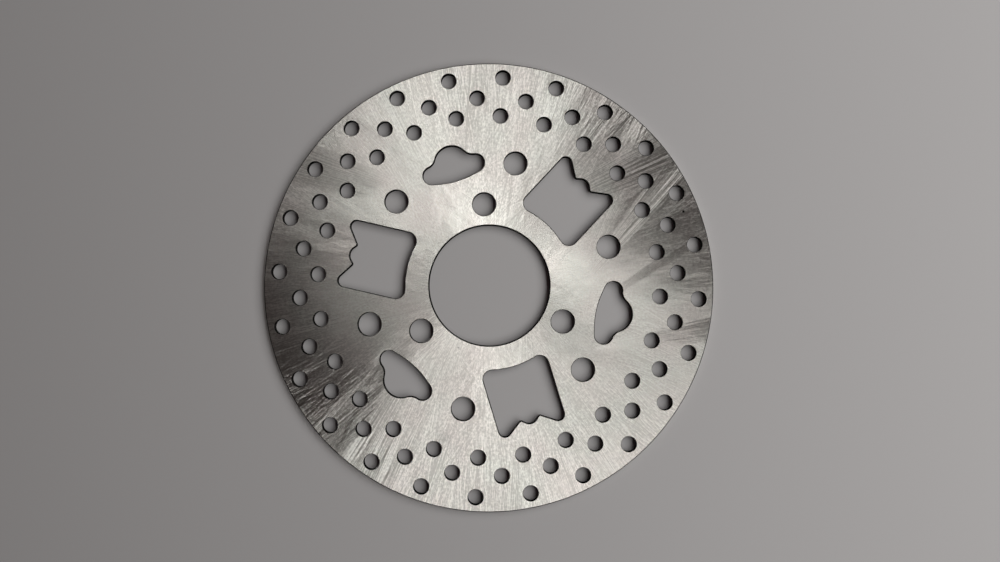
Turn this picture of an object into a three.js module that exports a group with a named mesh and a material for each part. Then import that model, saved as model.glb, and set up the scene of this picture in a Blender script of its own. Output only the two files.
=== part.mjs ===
// One-piece brake rotor for a motorcycle or scooter: a flat ground steel plate with a hub bore,
// two bolt circles, three rings of vent holes and two kinds of weight-saving window.
// Millimetres, +Z up. The origin is on the rotor's axis, in the plane of the hub-side face.
import * as THREE from "three";

// ---- driving dimensions ----
const OUTER_DIAMETER = 220;
const THICKNESS = 3.5;
const BORE_DIAMETER = 59;

const VENT = { diameter: 7.5, perRing: 24, ringRadii: [102.9, 92.7, 83.9] };

// The hub bolts start on +Y. The wheel bolts start a little before them.
const HUB_BOLTS = { diameter: 11.5, circle: 80, count: 3, firstAngle: 90 };
const WHEEL_BOLTS = { diameter: 11.5, circle: 123, count: 6, firstAngle: 74.2 };

const WINDOWS_PER_KIND = 3;
const CROWN_ANGLE = 43.3;
const PEAR_ANGLE = 103.3;

// The crown window: square shoulders, an inner edge that follows the hub, and an outer edge with
// a low bump between two teeth. x is sideways from the window's own radius, y outwards from the axis.
const CROWN = {
  hubClearance: 41.4,
  halfWidth: 16.6,
  innerCornerRadius: 4.5,
  shoulder: { y: 69.9, radius: 3 },
  tooth: { x: 4.85, y: 69, radius: 1.25 },
  bump: { y: 65.8, radius: 4.4 },
};

// The pear window: a tall dome that flows into a round lobe on each side, over a gently bowed base.
const PEAR = {
  dome: { y: 63, radius: 8.6 },
  lobe: { x: 11.15, y: 59.85, radius: 4.45 },
  neckRadius: 6,
  base: { y: 93.87, radius: 40 },
};

// ---- facet sizes ----
const RIM_SEGMENTS = 180;
const BORE_SEGMENTS = 90;
const BOLT_SEGMENTS = 36;
const VENT_SEGMENTS = 24;
const WINDOW_ARC_STEP = THREE.MathUtils.degToRad(12);

const FULL_TURN = 2 * Math.PI;

// ---- outlines ----

// A circle that an outline runs round: a positive radius keeps the centre on the left of the path,
// a negative one on the right.
function roundStretch(x, y, radius) {
  return { centre: new THREE.Vector2(x, y), radius };
}

// The unit direction of the straight line that leaves one round stretch and meets the next.
function tangentDirection(from, to) {
  const between = to.centre.clone().sub(from.centre);
  const sine = THREE.MathUtils.clamp((from.radius - to.radius) / between.length(), -1, 1);
  const angle = between.angle() + Math.asin(sine);
  return new THREE.Vector2(Math.cos(angle), Math.sin(angle));
}

// Where a path with this direction touches the round stretch.
function touchPoint(stretch, direction) {
  const left = new THREE.Vector2(-direction.y, direction.x);
  return stretch.centre.clone().addScaledVector(left, -stretch.radius);
}

// The points of a closed outline of round stretches, joined by straight lines that touch both.
function tangentOutline(stretches) {
  const count = stretches.length;
  const points = [];
  stretches.forEach((stretch, i) => {
    const arriving = tangentDirection(stretches[(i + count - 1) % count], stretch);
    const leaving = tangentDirection(stretch, stretches[(i + 1) % count]);
    const start = touchPoint(stretch, arriving).sub(stretch.centre).angle();
    const end = touchPoint(stretch, leaving).sub(stretch.centre).angle();
    const side = Math.sign(stretch.radius);
    const sweep = side * THREE.MathUtils.euclideanModulo(side * (end - start), FULL_TURN);
    const steps = Math.max(2, Math.ceil(Math.abs(sweep) / WINDOW_ARC_STEP));
    for (let k = 0; k <= steps; k++) {
      const angle = start + (sweep * k) / steps;
      const arm = new THREE.Vector2(Math.cos(angle), Math.sin(angle));
      points.push(stretch.centre.clone().addScaledVector(arm, Math.abs(stretch.radius)));
    }
  });
  return points;
}

// The centre of the round neck that touches two circles from outside, on the side of +X and +Y.
function neckCentre(first, second, radius) {
  const a = first.radius + radius;
  const b = second.radius + radius;
  const between = second.centre.clone().sub(first.centre);
  const length = between.length();
  const along = (a * a - b * b + length * length) / (2 * length);
  const across = Math.sqrt(a * a - along * along);
  const unit = between.divideScalar(length);
  return first.centre
    .clone()
    .addScaledVector(unit, along)
    .addScaledVector(new THREE.Vector2(-unit.y, unit.x), across);
}

function crownOutline() {
  const { hubClearance, halfWidth, innerCornerRadius, shoulder, tooth, bump } = CROWN;
  const innerX = halfWidth - innerCornerRadius;
  const innerY = Math.sqrt((hubClearance + innerCornerRadius) ** 2 - innerX ** 2);
  const shoulderX = halfWidth - shoulder.radius;
  return tangentOutline([
    roundStretch(0, 0, -hubClearance),
    roundStretch(innerX, innerY, innerCornerRadius),
    roundStretch(shoulderX, shoulder.y, shoulder.radius),
    roundStretch(tooth.x, tooth.y, -tooth.radius),
    roundStretch(0, bump.y, bump.radius),
    roundStretch(-tooth.x, tooth.y, -tooth.radius),
    roundStretch(-shoulderX, shoulder.y, shoulder.radius),
    roundStretch(-innerX, innerY, innerCornerRadius),
  ]);
}

function pearOutline() {
  const { dome, lobe, neckRadius, base } = PEAR;
  const domeCircle = roundStretch(0, dome.y, dome.radius);
  const lobeCircle = roundStretch(lobe.x, lobe.y, lobe.radius);
  const neck = neckCentre(domeCircle, lobeCircle, neckRadius);
  return tangentOutline([
    roundStretch(0, base.y, base.radius),
    lobeCircle,
    roundStretch(neck.x, neck.y, -neckRadius),
    domeCircle,
    roundStretch(-neck.x, neck.y, -neckRadius),
    roundStretch(-lobe.x, lobe.y, lobe.radius),
  ]);
}

function circleOutline(diameter, segments, x = 0, y = 0) {
  return Array.from({ length: segments }, (_, k) => {
    const angle = (FULL_TURN * k) / segments;
    const radius = diameter / 2;
    return new THREE.Vector2(x + radius * Math.cos(angle), y + radius * Math.sin(angle));
  });
}

// ---- openings ----

function holeCircle(diameter, segments, circleRadius, count, firstAngle) {
  return Array.from({ length: count }, (_, k) => {
    const angle = THREE.MathUtils.degToRad(firstAngle) + (FULL_TURN * k) / count;
    const x = circleRadius * Math.cos(angle);
    const y = circleRadius * Math.sin(angle);
    return circleOutline(diameter, segments, x, y);
  });
}

// The outline is drawn with its own radius along +Y, so it turns by its angle less a right angle.
function windowSet(outline, firstAngle) {
  return Array.from({ length: WINDOWS_PER_KIND }, (_, k) => {
    const turn = THREE.MathUtils.degToRad(firstAngle - 90) + (FULL_TURN * k) / WINDOWS_PER_KIND;
    return outline.map((point) => point.clone().rotateAround(new THREE.Vector2(), turn));
  });
}

// Each vent ring is half a pitch round from the ring inside it.
function ventHoles() {
  const pitch = 360 / VENT.perRing;
  return VENT.ringRadii.flatMap((radius, ring) => {
    const firstAngle = ring % 2 === 0 ? pitch / 2 : 0;
    return holeCircle(VENT.diameter, VENT_SEGMENTS, radius, VENT.perRing, firstAngle);
  });
}

function boltHoles({ diameter, circle, count, firstAngle }) {
  return holeCircle(diameter, BOLT_SEGMENTS, circle / 2, count, firstAngle);
}

// ---- the rotor ----

function buildBrakeDisc() {
  const plate = new THREE.Shape(circleOutline(OUTER_DIAMETER, RIM_SEGMENTS));
  const openings = [
    circleOutline(BORE_DIAMETER, BORE_SEGMENTS),
    ...boltHoles(HUB_BOLTS),
    ...boltHoles(WHEEL_BOLTS),
    ...windowSet(crownOutline(), CROWN_ANGLE),
    ...windowSet(pearOutline(), PEAR_ANGLE),
    ...ventHoles(),
  ];
  plate.holes = openings.map((outline) => new THREE.Path(outline));
  const geometry = new THREE.ExtrudeGeometry(plate, { depth: THICKNESS, bevelEnabled: false });
  const groundSteel = new THREE.MeshStandardMaterial({
    color: 0xc9c6bf,
    roughness: 0.35,
    metalness: 1,
  });
  const disc = new THREE.Mesh(geometry, groundSteel);
  disc.name = "brake_disc";
  return disc;
}

const rotor = new THREE.Group();
rotor.add(buildBrakeDisc());

export default rotor;
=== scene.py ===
"""A one-piece motorcycle brake rotor lying on a plain pale floor: a fine mesh of the plate, its ground
faces with crossing marks, its cut walls and rounded edges painted nearly black as shade, its bare rim,
a camera above it and soft studio light."""

import math

import bpy
from mathutils import Euler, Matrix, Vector
from mathutils.geometry import delaunay_2d_cdt


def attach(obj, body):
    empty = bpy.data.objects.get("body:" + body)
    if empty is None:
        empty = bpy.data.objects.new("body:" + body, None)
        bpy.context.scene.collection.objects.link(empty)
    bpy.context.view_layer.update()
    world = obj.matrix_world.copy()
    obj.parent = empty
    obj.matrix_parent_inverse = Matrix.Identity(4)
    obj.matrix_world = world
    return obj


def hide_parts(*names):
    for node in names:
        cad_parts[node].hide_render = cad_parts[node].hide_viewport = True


MM = 0.001

# ---- the rotor's dimensions in millimetres, the same as the CAD model's ----
OUTER_RADIUS = 110.0
THICKNESS = 3.5
BORE_RADIUS = 29.5
VENT_RADIUS = 3.75
VENTS_PER_RING = 24
VENT_RING_RADII = (102.9, 92.7, 83.9)
BOLT_RADIUS = 5.75
HUB_BOLTS = {"circle": 40.0, "count": 3, "first": 90.0}
WHEEL_BOLTS = {"circle": 61.5, "count": 6, "first": 74.2}
CROWN_ANGLE = 43.3
PEAR_ANGLE = 103.3
WINDOWS_PER_KIND = 3

# ---- the visual mesh, also in millimetres ----
# A break is how far a rounded edge reaches along the flat face and down the wall. The rounded edges are
# painted nearly black as shade, so a break is also the width of a painted dark outline.
RIM_BREAK = 0.45
BORE_BREAK = 0.5
BOLT_BREAK = 0.25
WINDOW_BREAK = 0.35
VENT_BREAK = 0.2
EDGE_STEPS = 3
RIM_SEGMENTS = 720
BORE_SEGMENTS = 240
BOLT_SEGMENTS = 72
VENT_SEGMENTS = 48
ARC_STEP = math.radians(5)
# The share of a step that a sweep may be over a whole number of steps without needing one more.
STEP_SLACK = 1e-6
# Points nearer than this are one point.
SAME_POINT = 0.0001

FULL_TURN = 2 * math.pi


# ---------------------------------------------------------------- outlines
# A stretch is (x, y, radius): a circle that an outline runs round, with a positive radius when the
# centre is on the left of the path. Openings run counter-clockwise, so the metal is on their right.


def tangent_direction(start, end):
    """The unit direction of the straight line that leaves one stretch and meets the next."""
    dx, dy = end[0] - start[0], end[1] - start[1]
    sine = max(-1.0, min(1.0, (start[2] - end[2]) / math.hypot(dx, dy)))
    angle = math.atan2(dy, dx) + math.asin(sine)
    return math.cos(angle), math.sin(angle)


def touch_angle(direction, radius):
    """The angle, seen from a stretch's centre, of the point where a path in this direction meets it."""
    side = 1 if radius > 0 else -1
    return math.atan2(-side * direction[0], side * direction[1])


def tangent_outline(stretches, grow):
    """The points of a closed outline of stretches, joined by straight lines, moved grow into the metal.
    Where two stretches touch, they share one point."""
    grown = [(x, y, radius + grow) for x, y, radius in stretches]
    points = []
    for i, (x, y, radius) in enumerate(grown):
        arriving = tangent_direction(grown[i - 1], grown[i])
        leaving = tangent_direction(grown[i], grown[(i + 1) % len(grown)])
        start = touch_angle(arriving, radius)
        side = 1 if radius > 0 else -1
        sweep = side * ((side * (touch_angle(leaving, radius) - start)) % FULL_TURN)
        steps = max(2, math.ceil(abs(sweep) / ARC_STEP - STEP_SLACK))
        for k in range(steps + 1):
            angle = start + sweep * k / steps
            point = (x + abs(radius) * math.cos(angle), y + abs(radius) * math.sin(angle))
            if not points or math.dist(point, points[-1]) > SAME_POINT:
                points.append(point)
    if math.dist(points[0], points[-1]) <= SAME_POINT:
        points.pop()
    return points


def neck_centre(first, second, radius):
    """The centre of the circle that touches two others from outside, on the side of +x and +y."""
    a, b = first[2] + radius, second[2] + radius
    dx, dy = second[0] - first[0], second[1] - first[1]
    length = math.hypot(dx, dy)
    along = (a * a - b * b + length * length) / (2 * length)
    across = math.sqrt(a * a - along * along)
    ux, uy = dx / length, dy / length
    return first[0] + ux * along - uy * across, first[1] + uy * along + ux * across


def crown_stretches():
    """A window with square shoulders, a hub-following inner edge, and a bump between two teeth."""
    hub, half_width, inner_corner, shoulder, tooth, bump = 41.4, 16.6, 4.5, 3.0, 1.25, 4.4
    shoulder_y, tooth_x, tooth_y, bump_y = 69.9, 4.85, 69.0, 65.8
    inner_x = half_width - inner_corner
    inner_y = math.sqrt((hub + inner_corner) ** 2 - inner_x**2)
    shoulder_x = half_width - shoulder
    return [
        (0, 0, -hub),
        (inner_x, inner_y, inner_corner),
        (shoulder_x, shoulder_y, shoulder),
        (tooth_x, tooth_y, -tooth),
        (0, bump_y, bump),
        (-tooth_x, tooth_y, -tooth),
        (-shoulder_x, shoulder_y, shoulder),
        (-inner_x, inner_y, inner_corner),
    ]


def pear_stretches():
    """A window with a tall dome that flows into a round lobe on each side, over a bowed base."""
    base, dome, lobe, neck = (0, 93.87, 40.0), (0, 63.0, 8.6), (11.15, 59.85, 4.45), 6.0
    neck_x, neck_y = neck_centre(dome, lobe, neck)
    return [
        base,
        lobe,
        (neck_x, neck_y, -neck),
        dome,
        (-neck_x, neck_y, -neck),
        (-lobe[0], lobe[1], lobe[2]),
    ]


def window_outline(stretches, degrees, grow):
    """A window's outline, drawn with its own radius along +y, turned to its place."""
    turn = math.radians(degrees - 90)
    c, s = math.cos(turn), math.sin(turn)
    return [(c * x - s * y, s * x + c * y) for x, y in tangent_outline(stretches, grow)]


def circle(x, y, radius, segments):
    """The points of a circle, counter-clockwise."""
    angles = [FULL_TURN * k / segments for k in range(segments)]
    return [(x + radius * math.cos(a), y + radius * math.sin(a)) for a in angles]


def hole_ring(circle_radius, count, first_degrees, hole_radius, segments):
    """Evenly spaced round holes."""
    holes = []
    for k in range(count):
        angle = math.radians(first_degrees) + FULL_TURN * k / count
        x, y = circle_radius * math.cos(angle), circle_radius * math.sin(angle)
        holes.append(circle(x, y, hole_radius, segments))
    return holes


def edge_outlines():
    """The rim, which comes first, and every opening of the plate, as (outline, outline moved into the
    metal by the edge break, edge break)."""
    edges = []

    def add(outline_at, edge_break):
        edges.append((outline_at(0), outline_at(edge_break), edge_break))

    def add_holes(circle_radius, count, first, hole_radius, segments, edge_break):
        walls = hole_ring(circle_radius, count, first, hole_radius, segments)
        insets = hole_ring(circle_radius, count, first, hole_radius + edge_break, segments)
        edges.extend((wall, inset, edge_break) for wall, inset in zip(walls, insets))

    add(lambda inset: circle(0, 0, OUTER_RADIUS - inset, RIM_SEGMENTS), RIM_BREAK)
    add(lambda inset: circle(0, 0, BORE_RADIUS + inset, BORE_SEGMENTS), BORE_BREAK)
    for bolts in (HUB_BOLTS, WHEEL_BOLTS):
        place = (bolts["circle"], bolts["count"], bolts["first"])
        add_holes(*place, BOLT_RADIUS, BOLT_SEGMENTS, BOLT_BREAK)
    for stretches, first in ((crown_stretches(), CROWN_ANGLE), (pear_stretches(), PEAR_ANGLE)):
        for k in range(WINDOWS_PER_KIND):
            degrees = first + 360 * k / WINDOWS_PER_KIND
            add(lambda inset: window_outline(stretches, degrees, inset), WINDOW_BREAK)
    half_pitch = 180 / VENTS_PER_RING
    for ring, radius in enumerate(VENT_RING_RADII):
        first = half_pitch if ring % 2 == 0 else 0
        add_holes(radius, VENTS_PER_RING, first, VENT_RADIUS, VENT_SEGMENTS, VENT_BREAK)
    return edges


# ---------------------------------------------------------------- the plate's mesh


def edge_profile():
    """The wall's section from the top face to the bottom one, as (inset, drop, tilt, upper): the inset
    from the wall and the drop from the nearer face are shares of the edge break, the tilt is the
    normal's angle above level, and upper says whether the nearer face is the top one."""
    quarter = []
    for k in range(EDGE_STEPS + 1):
        tilt = math.pi / 2 * (1 - k / EDGE_STEPS)
        quarter.append((1 - math.cos(tilt), 1 - math.sin(tilt), tilt, True))
    mirrored = [(inset, drop, -tilt, False) for inset, drop, tilt, _ in reversed(quarter)]
    return quarter + mirrored


def inside(point, outline):
    """Whether a point is inside a closed outline."""
    x, y = point
    found = False
    for (ax, ay), (bx, by) in zip(outline, outline[1:] + outline[:1]):
        if (ay > y) != (by > y) and x < ax + (y - ay) / (by - ay) * (bx - ax):
            found = not found
    return found


# What the triangulation returns, which is everything inside the points' hull, and its tolerance.
WHOLE_HULL = 0
MERGE_DISTANCE = 1e-9


def face_triangles(outlines):
    """Triangles of the flat face between the rim, the first outline, and the openings."""
    points = [Vector(p) for outline in outlines for p in outline]
    owner = [n for n, outline in enumerate(outlines) for _ in outline]
    edges = []
    start = 0
    for outline in outlines:
        count = len(outline)
        edges += [(start + k, start + (k + 1) % count) for k in range(count)]
        start += count
    _, _, faces, sources, _, _ = delaunay_2d_cdt(points, edges, [], WHOLE_HULL, MERGE_DISTANCE)
    triangles = []
    for face in faces:
        corners = [sources[v][0] for v in face]
        owners = {owner[v] for v in corners}
        if len(owners) == 1 and 0 not in owners:
            centre = sum((points[v] for v in corners), Vector((0, 0))) / 3
            if inside(centre, outlines[owners.pop()]):
                continue
        triangles.append(corners)
    return triangles


# The plate's material slots.
GROUND_SLOT = 0
# The walls of the openings and every rounded edge, the rim's too, take the nearly black cut material,
# which is painted shade.
PAINTED_SHADE_SLOT = 1
RIM_SLOT = 2


def wall_points(edges, profile):
    """The points of every wall and its rounded edges, row by row from the top face to the bottom one,
    and the surface's direction at each."""
    vertices, normals = [], []
    for inset, drop, tilt, upper in profile:
        for wall, deep, edge_break in edges:
            depth = drop * edge_break
            height = THICKNESS - depth if upper else depth
            level = math.cos(tilt) / edge_break
            for (wx, wy), (dx, dy) in zip(wall, deep):
                x = wx + (dx - wx) * inset
                y = wy + (dy - wy) * inset
                vertices.append((x * MM, y * MM, height * MM))
                outward = Vector(((wx - dx) * level, (wy - dy) * level, math.sin(tilt)))
                normals.append(outward.normalized())
    return vertices, normals


def wall_faces(edges, layer, rows):
    """The faces between the rows of points, a layer apart, of every wall, and their material slots."""
    faces, slots = [], []
    start = 0
    for n, (wall, _, _) in enumerate(edges):
        count = len(wall)
        is_rim = n == 0
        for k in range(count):
            a, b = start + k, start + (k + 1) % count
            for row in range(rows - 1):
                up, down = row * layer, (row + 1) * layer
                quad = (a + down, b + down, b + up, a + up)
                faces.append(quad if is_rim else quad[::-1])
                # Only the rim's upright wall is bare rim steel. Its rounded edges take the
                # painted-shade cut material, which paints a dark line round the rim.
                is_flat_wall = row == EDGE_STEPS
                slots.append(RIM_SLOT if is_rim and is_flat_wall else PAINTED_SHADE_SLOT)
        start += count
    return faces, slots


def flat_faces(insets, vertices, bottom):
    """Both flat faces and their material slots. Bottom is the number of a point of the bottom face less
    the number of the point above it."""
    faces = []
    for a, b, c in face_triangles(insets):
        ax, ay = vertices[a][:2]
        bx, by = vertices[b][:2]
        cx, cy = vertices[c][:2]
        if (bx - ax) * (cy - ay) < (by - ay) * (cx - ax):
            b, c = c, b
        faces.append((a, b, c))
        faces.append((c + bottom, b + bottom, a + bottom))
    return faces, [GROUND_SLOT] * len(faces)


def build_plate():
    """The whole rotor as one closed mesh: two flat faces, and a wall with rounded edges at the rim and
    at every opening."""
    edges = edge_outlines()
    profile = edge_profile()
    layer = sum(len(wall) for wall, _, _ in edges)
    vertices, normals = wall_points(edges, profile)
    faces, slots = wall_faces(edges, layer, len(profile))
    insets = [deep for _, deep, _ in edges]
    ground_faces, ground_slots = flat_faces(insets, vertices, (len(profile) - 1) * layer)
    faces += ground_faces
    slots += ground_slots

    mesh = bpy.data.meshes.new("rotor_plate")
    mesh.from_pydata(vertices, [], faces)
    mesh.polygons.foreach_set("material_index", slots)
    mesh.polygons.foreach_set("use_smooth", [True] * len(faces))
    mesh.normals_split_custom_set_from_vertices(normals)
    mesh.validate()
    plate = bpy.data.objects.new("rotor_plate", mesh)
    bpy.context.scene.collection.objects.link(plate)
    return plate


# ---------------------------------------------------------------- material nodes


class Nodes:
    """Short calls for making one material's nodes. An input is a number, a tuple or another socket."""

    def __init__(self, name):
        self.material = bpy.data.materials.new(name)
        self.material.use_nodes = True
        self.tree = self.material.node_tree
        self.shader = self.tree.nodes["Principled BSDF"]

    def feed(self, socket, value):
        if isinstance(value, bpy.types.NodeSocket):
            self.tree.links.new(value, socket)
        elif value is not None:
            socket.default_value = value

    def add(self, kind, inputs=(), **settings):
        node = self.tree.nodes.new(kind)
        for name, value in settings.items():
            setattr(node, name, value)
        for key, value in dict(inputs).items():
            self.feed(node.inputs[key], value)
        return node

    def surface(self, name, value):
        """Feed one input of the material's shader."""
        self.feed(self.shader.inputs[name], value)

    def object_place(self):
        """The place in the object's own frame, in metres."""
        return self.add("ShaderNodeTexCoord").outputs["Object"]

    def math(self, operation, a, b=None, c=None):
        inputs = {0: a, 1: b, 2: c}
        return self.add("ShaderNodeMath", inputs, operation=operation).outputs[0]

    def vector(self, operation, a, b=None):
        return self.add("ShaderNodeVectorMath", {0: a, 1: b}, operation=operation).outputs[0]

    def scaled(self, vector, factor):
        inputs = {"Vector": vector, "Scale": factor}
        return self.add("ShaderNodeVectorMath", inputs, operation="SCALE").outputs[0]

    def length(self, vector):
        return self.add("ShaderNodeVectorMath", {0: vector}, operation="LENGTH").outputs["Value"]

    def dot(self, a, b):
        inputs = {0: a, 1: b}
        return self.add("ShaderNodeVectorMath", inputs, operation="DOT_PRODUCT").outputs["Value"]

    def split(self, vector):
        return self.add("ShaderNodeSeparateXYZ", {0: vector}).outputs

    def join(self, x, y, z):
        return self.add("ShaderNodeCombineXYZ", {0: x, 1: y, 2: z}).outputs[0]

    def noise(self, vector, scale, detail=2.0, roughness=0.5, lacunarity=2.0):
        inputs = {
            "Vector": vector,
            "Scale": scale,
            "Detail": detail,
            "Roughness": roughness,
            "Lacunarity": lacunarity,
        }
        return self.add("ShaderNodeTexNoise", inputs, noise_dimensions="3D").outputs[0]

    def remap(self, value, from_low, from_high, to_low=0.0, to_high=1.0):
        inputs = {0: value, 1: from_low, 2: from_high, 3: to_low, 4: to_high}
        return self.add("ShaderNodeMapRange", inputs).outputs[0]

    def mix(self, factor, a, b):
        """A colour between two. The Mix node's colour sockets are 6 and 7 on the way in and 2 out."""
        node = self.add("ShaderNodeMix", data_type="RGBA")
        for key, value in ((0, factor), (6, a), (7, b)):
            self.feed(node.inputs[key], value)
        return node.outputs[2]

    def bump(self, height, strength, distance):
        inputs = {"Strength": strength, "Distance": distance, "Height": height}
        return self.add("ShaderNodeBump", inputs).outputs[0]


# Noise lies about this middle, and most of it lies between the two limits.
NOISE_MIDDLE = 0.5
NOISE_LOW = 0.35
NOISE_HIGH = 0.65


# ---- ground faces ----
# Every grinding mark lies along a straight line that passes the axis at a set distance, in
# millimetres, on one side or the other. Marks of one distance and side make a family. The second
# number is the family's weight beside the others.
MARK_FAMILIES = (
    (4.0, 1.0),
    (-4.0, 1.0),
    (17.0, 0.8),
    (-17.0, 0.8),
    (31.0, 0.5),
    (-31.0, 0.5),
    (46.0, 0.15),
    (-46.0, 0.15),
)
# A pass is one strong bundle of such marks: its distance from the axis, the direction square to it
# and its half width in degrees, the radius where it starts, and its strength beside the families.
MARK_PASSES = (
    (-34.0, 136.4, 3.4, 50.0, 18.0),
    (-39.0, 153.0, 5.0, 50.0, 3.0),
    (-36.6, 119.5, 1.6, 50.0, 4.0),
    (22.0, 111.5, 5.0, 60.0, 14.0),
    (-38.0, 95.0, 2.6, 58.0, 8.0),
    (-12.0, 329.0, 6.0, 45.0, 8.0),
    (-30.0, 249.0, 5.0, 70.0, 8.0),
)
# A family's marks keep outside its distance from the axis: they start at one multiple of it and have
# their full weight from another. The sine of a mark's angle to the radius is kept below a limit.
FAMILY_START = 1.05
FAMILY_WHOLE = 1.35
SINE_LIMIT = 0.9
# A pass fades out across its edge between these multiples of its half width, and it fades in along
# its start over a distance in millimetres.
PASS_CORE = 0.7
PASS_EDGE = 1.3
PASS_RUN_IN = 8.0
# Bands are the broad patches where one family wins, and marks are its fine lines, with one pitch near
# the bore and another near the rim. The pitches are noise cells in one radian round the axis. A pull
# is how strongly a band or a mark raises its family's weight.
BAND_PITCH = 12.0
BAND_PULL = 5.0
INNER_MARK_PITCH = 120.0
OUTER_MARK_PITCH = 240.0
INNER_MARK_RADIUS = 35.0
OUTER_MARK_RADIUS = 85.0
MARK_PULL = 0.45
# How far a mark turns the reflection.
MARK_SWING = 1.5
# What one millimetre of radius adds to the place in the noise, and the gap between two families.
LENGTHWISE = 0.00009
FAMILY_GAP = 1.37
# Grain is an even speckle, in noise cells in one metre, on top of the marks.
GRAIN_PITCH = 1000.0
GRAIN_SHARE = 0.38
# The relief of marks and grain runs from dull to bright steel between these heights.
DULL_RELIEF = -0.07
BRIGHT_RELIEF = 0.13
DULL_STEEL = (0.66, 0.64, 0.595, 1)
BRIGHT_STEEL = (1.0, 0.98, 0.93, 1)
# Bright steel is the rougher one, as in a fresh scratch.
DULL_ROUGHNESS = 0.34
BRIGHT_ROUGHNESS = 0.46
# A blush is a broad, faint change of hue.
BLUSH_PITCH = 38.0
WARM_BLUSH = (1.0, 0.965, 0.955, 1)
GREEN_BLUSH = (0.985, 1.0, 0.975, 1)
GROUND_BUMP = {"strength": 0.3, "distance": 0.00001}

# Small flaws: place in millimetres, radius and how much darker the middle is. The middle is that dark
# out to a share of the radius.
SPOTS = (
    (97.7, 30.1, 0.95, 0.97),
    (-17.2, -29.3, 0.6, 0.6),
    (-27.2, -72.3, 5.0, 0.14),
)
SPOT_CORE = 0.3


class Marks:
    """The nodes of the grinding marks, worked out in millimetres from the rotor's axis."""

    def __init__(self, n, place):
        self.n = n
        x, y, _ = n.split(place)
        self.millimetres = n.scaled(n.join(x, y, 0.0), 1 / MM)
        self.radius = n.math("MAXIMUM", n.length(self.millimetres), 1.0)
        self.radial = n.vector("NORMALIZE", self.millimetres)
        rx, ry, _ = n.split(self.radial)
        self.around = n.join(n.math("MULTIPLY", ry, -1.0), rx, 0.0)
        self.outwards = n.remap(self.radius, INNER_MARK_RADIUS, OUTER_MARK_RADIUS)
        self.lengthwise = n.join(0.0, 0.0, n.math("MULTIPLY", self.radius, LENGTHWISE))

    def across(self, distance, index):
        """A unit vector across a family's marks, with a slow run along them as its z."""
        n = self.n
        sine = n.math("MINIMUM", n.math("DIVIDE", abs(distance), self.radius), SINE_LIMIT)
        sine = n.math("MULTIPLY", sine, math.copysign(1.0, distance))
        cosine = n.math("SQRT", n.math("SUBTRACT", 1.0, n.math("MULTIPLY", sine, sine)))
        level = n.vector("ADD", n.scaled(self.radial, sine), n.scaled(self.around, cosine))
        along = n.vector("ADD", self.lengthwise, (0.0, 0.0, FAMILY_GAP * (index + 1)))
        return n.vector("ADD", level, along)

    def fine(self, across):
        """A family's fine lines, about zero."""
        n = self.n
        inner = n.noise(across, INNER_MARK_PITCH, detail=0.0)
        outer = n.noise(across, OUTER_MARK_PITCH, detail=0.0)
        both = n.math("MULTIPLY_ADD", n.math("SUBTRACT", outer, inner), self.outwards, inner)
        return n.math("SUBTRACT", both, NOISE_MIDDLE)

    def bundle(self, across, marks, weight):
        """The direction across some marks as x and y, and their relief as z, by their weight."""
        ax, ay, _ = self.n.split(across)
        return self.n.scaled(self.n.join(ax, ay, marks), weight)

    def family(self, index, distance, share):
        """One family's bundle, and its fine lines."""
        n = self.n
        across = self.across(distance, index)
        bands = n.noise(across, BAND_PITCH, detail=1.0, lacunarity=2.6)
        bands = n.math("SUBTRACT", bands, NOISE_MIDDLE)
        marks = self.fine(across)
        lift = n.math("MULTIPLY_ADD", marks, MARK_PULL, n.math("MULTIPLY", bands, BAND_PULL))
        start, whole = abs(distance) * FAMILY_START, abs(distance) * FAMILY_WHOLE
        reach = n.remap(self.radius, start, whole, 0.0, share)
        weight = n.math("MULTIPLY", n.math("EXPONENT", lift), reach)
        return self.bundle(across, marks, weight), marks

    def strong_pass(self, index, distance, degrees, half_width, start, strength):
        """One pass's bundle."""
        n = self.n
        across = self.across(distance, index)
        marks = self.fine(across)
        middle = (math.cos(math.radians(degrees)), math.sin(math.radians(degrees)), 0.0)
        near = n.dot(across, middle)
        edge = math.cos(math.radians(half_width * PASS_EDGE))
        core = math.cos(math.radians(half_width * PASS_CORE))
        started = n.remap(self.radius, start, start + PASS_RUN_IN, 0.0, strength)
        weight = n.math("MULTIPLY", n.remap(near, edge, core), started)
        return self.bundle(across, marks, weight)

    def all_together(self):
        """The sum of every bundle, and the first family's fine lines."""
        total = (0.0, 0.0, 0.0)
        first_lines = None
        for index, (distance, share) in enumerate(MARK_FAMILIES):
            bundle, lines = self.family(index, distance, share)
            total = self.n.vector("ADD", total, bundle)
            if index == 0:
                first_lines = lines
        for index, numbers in enumerate(MARK_PASSES, len(MARK_FAMILIES)):
            total = self.n.vector("ADD", total, self.strong_pass(index, *numbers))
        return total, first_lines


def reflection_direction(n, total):
    """The shader's tangent, which points across the winning marks and swings with their relief, and
    that relief."""
    tx, ty, marked = n.split(total)
    pull = n.join(tx, ty, 0.0)
    relief = n.math("DIVIDE", marked, n.length(pull))
    straight = n.vector("NORMALIZE", pull)
    sx, sy, _ = n.split(straight)
    sideways = n.join(n.math("MULTIPLY", sy, -1.0), sx, 0.0)
    swing = n.math("MULTIPLY", relief, MARK_SWING)
    tangent = n.vector("NORMALIZE", n.vector("ADD", straight, n.scaled(sideways, swing)))
    return tangent, relief


def steel_tone(n, place, relief):
    """How bright the steel is, from 0 to 1, by the marks' relief and the grain."""
    grain = n.math("SUBTRACT", n.noise(place, GRAIN_PITCH, detail=1.0), NOISE_MIDDLE)
    rough_relief = n.math("MULTIPLY_ADD", grain, GRAIN_SHARE, relief)
    return n.remap(rough_relief, DULL_RELIEF, BRIGHT_RELIEF)


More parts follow.
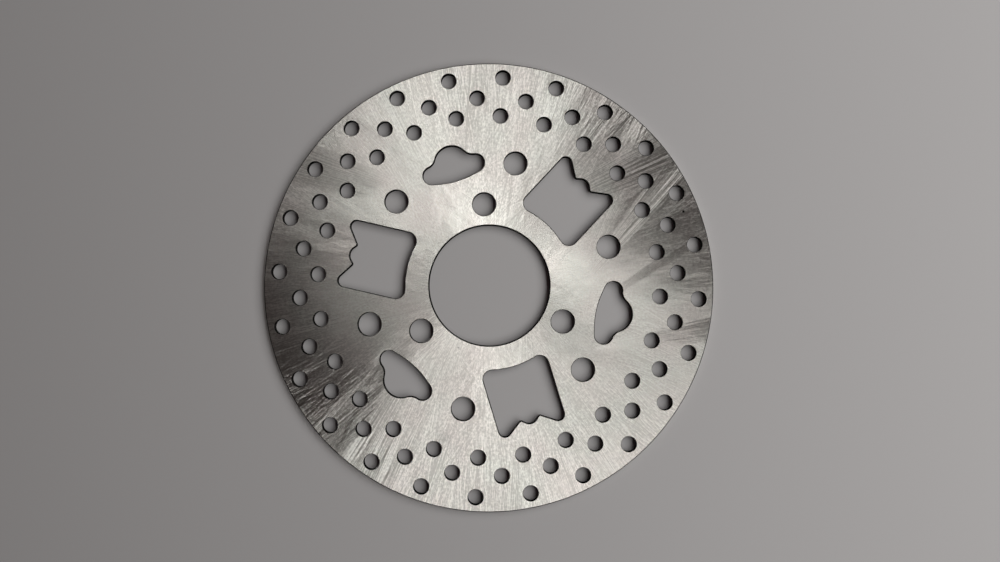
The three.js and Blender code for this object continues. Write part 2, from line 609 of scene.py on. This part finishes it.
def steel_colour(n, place, millimetres, tone):
    """The ground steel's colour, with its blush and its flaws."""
    colour = n.mix(tone, DULL_STEEL, BRIGHT_STEEL)
    blush = n.remap(n.noise(place, BLUSH_PITCH, roughness=0.6), NOISE_LOW, NOISE_HIGH)
    colour = n.vector("MULTIPLY", colour, n.mix(blush, WARM_BLUSH, GREEN_BLUSH))
    for x, y, spot_radius, darkening in SPOTS:
        gap = n.length(n.vector("SUBTRACT", millimetres, (x, y, 0.0)))
        left = n.remap(gap, SPOT_CORE * spot_radius, spot_radius, 1.0 - darkening, 1.0)
        colour = n.scaled(colour, left)
    return colour


def ground_steel():
    """Bare ground steel: crossing families of fine marks that set the direction of the reflection,
    with slight changes of tone, roughness and height along the same marks."""
    n = Nodes("ground_steel")
    place = n.object_place()
    marks = Marks(n, place)
    total, first_lines = marks.all_together()
    tangent, relief = reflection_direction(n, total)
    tone = steel_tone(n, place, relief)
    n.surface("Base Color", steel_colour(n, place, marks.millimetres, tone))
    n.surface("Roughness", n.remap(tone, 0.0, 1.0, DULL_ROUGHNESS, BRIGHT_ROUGHNESS))
    n.surface("Normal", n.bump(first_lines, **GROUND_BUMP))
    n.surface("Tangent", tangent)
    n.surface("Metallic", 1.0)
    n.surface("Anisotropic", 1.0)
    return n.material


# ---- cut walls and rounded edges, painted nearly black as shade ----
# The pitches are noise cells in one metre, and the stretch draws the lines out upright.
CUT_STRETCH = (1.0, 1.0, 0.12)
CUT_LINE_PITCH = 2600.0
CUT_PATCH_PITCH = 90.0
CUT_LINE_SHARE = 0.6
# These two colours are partly the dark oxide of the cut and mostly painted shade: they are near black
# so that the walls and the rounded edges show as the shade in the openings and a dark outline along
# every edge.
PAINTED_SHADE_DARK_CUT = (0.002, 0.0018, 0.0016, 1)
PAINTED_SHADE_LIGHT_CUT = (0.006, 0.0055, 0.005, 1)
DARK_CUT_ROUGHNESS = 0.6
LIGHT_CUT_ROUGHNESS = 0.8
CUT_SPECULAR = 0.03
CUT_BUMP = {"strength": 0.5, "distance": 0.00005}


def cut_steel_painted_shade():
    """The walls of the openings and all the rounded edges: dark cut steel with fine upright lines,
    painted nearly black as shade, so the openings show shade and every edge shows a dark outline."""
    n = Nodes("cut_steel_painted_shade")
    place = n.object_place()
    upright = n.vector("MULTIPLY", place, CUT_STRETCH)
    lines = n.noise(upright, CUT_LINE_PITCH, roughness=0.6)
    patches = n.noise(place, CUT_PATCH_PITCH)
    line_part = n.math("MULTIPLY", lines, CUT_LINE_SHARE)
    patch_part = n.math("MULTIPLY", patches, 1.0 - CUT_LINE_SHARE)
    tone = n.math("ADD", line_part, patch_part)
    n.surface("Base Color", n.mix(n.remap(tone, NOISE_LOW, NOISE_HIGH), PAINTED_SHADE_DARK_CUT, PAINTED_SHADE_LIGHT_CUT))
    roughness = n.remap(tone, NOISE_LOW, NOISE_HIGH, DARK_CUT_ROUGHNESS, LIGHT_CUT_ROUGHNESS)
    n.surface("Roughness", roughness)
    n.surface("Normal", n.bump(lines, **CUT_BUMP))
    n.surface("Specular IOR Level", CUT_SPECULAR)
    return n.material


# ---- the rim's wall ----
# The stretch draws the lines out round the rim.
RIM_STRETCH = (0.05, 0.05, 1.0)
RIM_LINE_PITCH = 3000.0
DARK_RIM = (0.2, 0.19, 0.18, 1)
LIGHT_RIM = (0.34, 0.33, 0.31, 1)
DARK_RIM_ROUGHNESS = 0.5
LIGHT_RIM_ROUGHNESS = 0.4


def rim_steel():
    """The rim's wall: bare steel with fine lines round it."""
    n = Nodes("rim_steel")
    level = n.vector("MULTIPLY", n.object_place(), RIM_STRETCH)
    lines = n.noise(level, RIM_LINE_PITCH, roughness=0.6)
    n.surface("Base Color", n.mix(n.remap(lines, NOISE_LOW, NOISE_HIGH), DARK_RIM, LIGHT_RIM))
    roughness = n.remap(lines, NOISE_LOW, NOISE_HIGH, DARK_RIM_ROUGHNESS, LIGHT_RIM_ROUGHNESS)
    n.surface("Roughness", roughness)
    n.surface("Metallic", 1.0)
    return n.material


# ---------------------------------------------------------------- floor, light and camera

# The size, and the gap that the floor lies below the rotor, are in metres.
FLOOR_SIZE = 4.0
FLOOR_GAP = 0.0002
FLOOR_COLOUR = (0.75, 0.73, 0.72, 1)
FLOOR_ROUGHNESS = 0.85
FLOOR_SPECULAR = 0.2


def add_floor():
    """A plain pale floor under the rotor."""
    half = FLOOR_SIZE / 2
    mesh = bpy.data.meshes.new("floor")
    corners = [(-half, -half, 0), (half, -half, 0), (half, half, 0), (-half, half, 0)]
    mesh.from_pydata(corners, [], [(0, 1, 2, 3)])
    floor = bpy.data.objects.new("floor", mesh)
    floor.location.z = -FLOOR_GAP
    bpy.context.scene.collection.objects.link(floor)
    n = Nodes("pale_floor")
    n.surface("Base Color", FLOOR_COLOUR)
    n.surface("Roughness", FLOOR_ROUGHNESS)
    n.surface("Specular IOR Level", FLOOR_SPECULAR)
    mesh.materials.append(n.material)
    return floor


# Softboxes as (name, place, width and height, radiance), in metres. Those on stands face the rotor.
# The others face straight down, and their last number is a turn about the vertical in degrees.
STAND_SOFTBOXES = (
    ("right", (1.8, 0.0, 0.9), (1.15, 0.7), 7.5),
    ("right_back", (1.6, 0.9, 0.8), (0.55, 0.6), 8.0),
    ("back", (1.05, 1.4, 0.95), (1.1, 0.6), 2.5),
    ("right_front", (1.45, -1.1, 0.85), (1.1, 0.6), 2.5),
    ("left", (-1.8, 0.0, 0.9), (1.15, 0.6), 7.0),
    ("left_back", (-1.6, 0.9, 0.8), (0.55, 0.6), 4.5),
    ("left_front", (-1.45, -1.1, 0.85), (1.1, 0.6), 3.0),
)
OVERHEAD_SOFTBOXES = (
    ("overhead_front", (0.35, -0.65, 1.85), (0.4, 0.6), 3.0, 15),
    ("overhead_middle", (0.2, 0.0, 2.0), (0.3, 0.7), 4.0, 15),
    ("overhead_left", (-0.25, 0.2, 2.0), (0.45, 0.3), 3.5, 0),
    ("overhead_back", (-0.05, 0.6, 1.9), (0.35, 0.35), 3.0, 0),
)
FLOOR_SOFTBOX = ("floor_wash", (1.1, 0.0, 1.0), (1.6, 2.4), 1.5, 0)


def add_softbox(receivers, name, place, size, radiance, turn=None):
    """A rectangular area light that lights only the objects in receivers."""
    data = bpy.data.lights.new(name, "AREA")
    data.shape = "RECTANGLE"
    data.size, data.size_y = size
    data.energy = radiance * math.pi * size[0] * size[1]
    lamp = bpy.data.objects.new(name, data)
    lamp.location = place
    if turn is None:
        lamp.rotation_euler = (-Vector(place)).to_track_quat("-Z", "Y").to_euler()
    else:
        lamp.rotation_euler = (0, 0, math.radians(turn))
    lamp.visible_camera = False
    lamp.light_linking.receiver_collection = receivers
    bpy.context.scene.collection.objects.link(lamp)


SURROUND_COLOUR = (1.0, 0.7, 0.7, 1)
SURROUND_STRENGTH = 0.02


def add_light():
    """Softboxes low on both sides and overhead for the rotor, one at the right for the floor, and a dim
    warm surround. Returns the collections of what the first ones light and what the last one lights."""
    rotor_only = bpy.data.collections.new("rotor_only")
    floor_only = bpy.data.collections.new("floor_only")
    for softbox in STAND_SOFTBOXES + OVERHEAD_SOFTBOXES:
        add_softbox(rotor_only, *softbox)
    add_softbox(floor_only, *FLOOR_SOFTBOX)
    world = bpy.data.worlds.new("surround")
    world.use_nodes = True
    background = world.node_tree.nodes["Background"]
    background.inputs["Color"].default_value = SURROUND_COLOUR
    background.inputs["Strength"].default_value = SURROUND_STRENGTH
    bpy.context.scene.world = world
    return rotor_only, floor_only


# The lens and the sensor are in millimetres, the place in metres and the turns in degrees.
CAMERA_LENS = 28.44
CAMERA_SENSOR = 36.0
CAMERA_PLACE = (0.00005, -0.0129, 0.3901)
CAMERA_TURNS = (2.224, -0.63, -3.789)
CAMERA_NEAREST = 0.01


def add_camera():
    """A phone-like camera almost straight above the rotor."""
    data = bpy.data.cameras.new("camera")
    data.sensor_width = CAMERA_SENSOR
    data.lens = CAMERA_LENS
    data.clip_start = CAMERA_NEAREST
    camera = bpy.data.objects.new("camera", data)
    camera.location = CAMERA_PLACE
    camera.rotation_euler = Euler([math.radians(turn) for turn in CAMERA_TURNS])
    bpy.context.scene.collection.objects.link(camera)
    bpy.context.scene.camera = camera


# ---------------------------------------------------------------- assembly

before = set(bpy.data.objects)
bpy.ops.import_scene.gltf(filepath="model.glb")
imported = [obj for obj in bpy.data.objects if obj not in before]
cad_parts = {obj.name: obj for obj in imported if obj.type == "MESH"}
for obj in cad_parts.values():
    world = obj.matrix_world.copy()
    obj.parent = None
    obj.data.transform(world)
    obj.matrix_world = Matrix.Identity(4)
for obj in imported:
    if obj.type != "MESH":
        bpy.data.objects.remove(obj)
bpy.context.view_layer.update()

add_camera()
floor = add_floor()
rotor_only, floor_only = add_light()

plate = build_plate()
rotor_only.objects.link(plate)
floor_only.objects.link(floor)
for material in (ground_steel(), cut_steel_painted_shade(), rim_steel()):
    plate.data.materials.append(material)
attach(plate, "root")
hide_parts("brake_disc")

bpy.context.scene.view_settings.view_transform = "Standard"
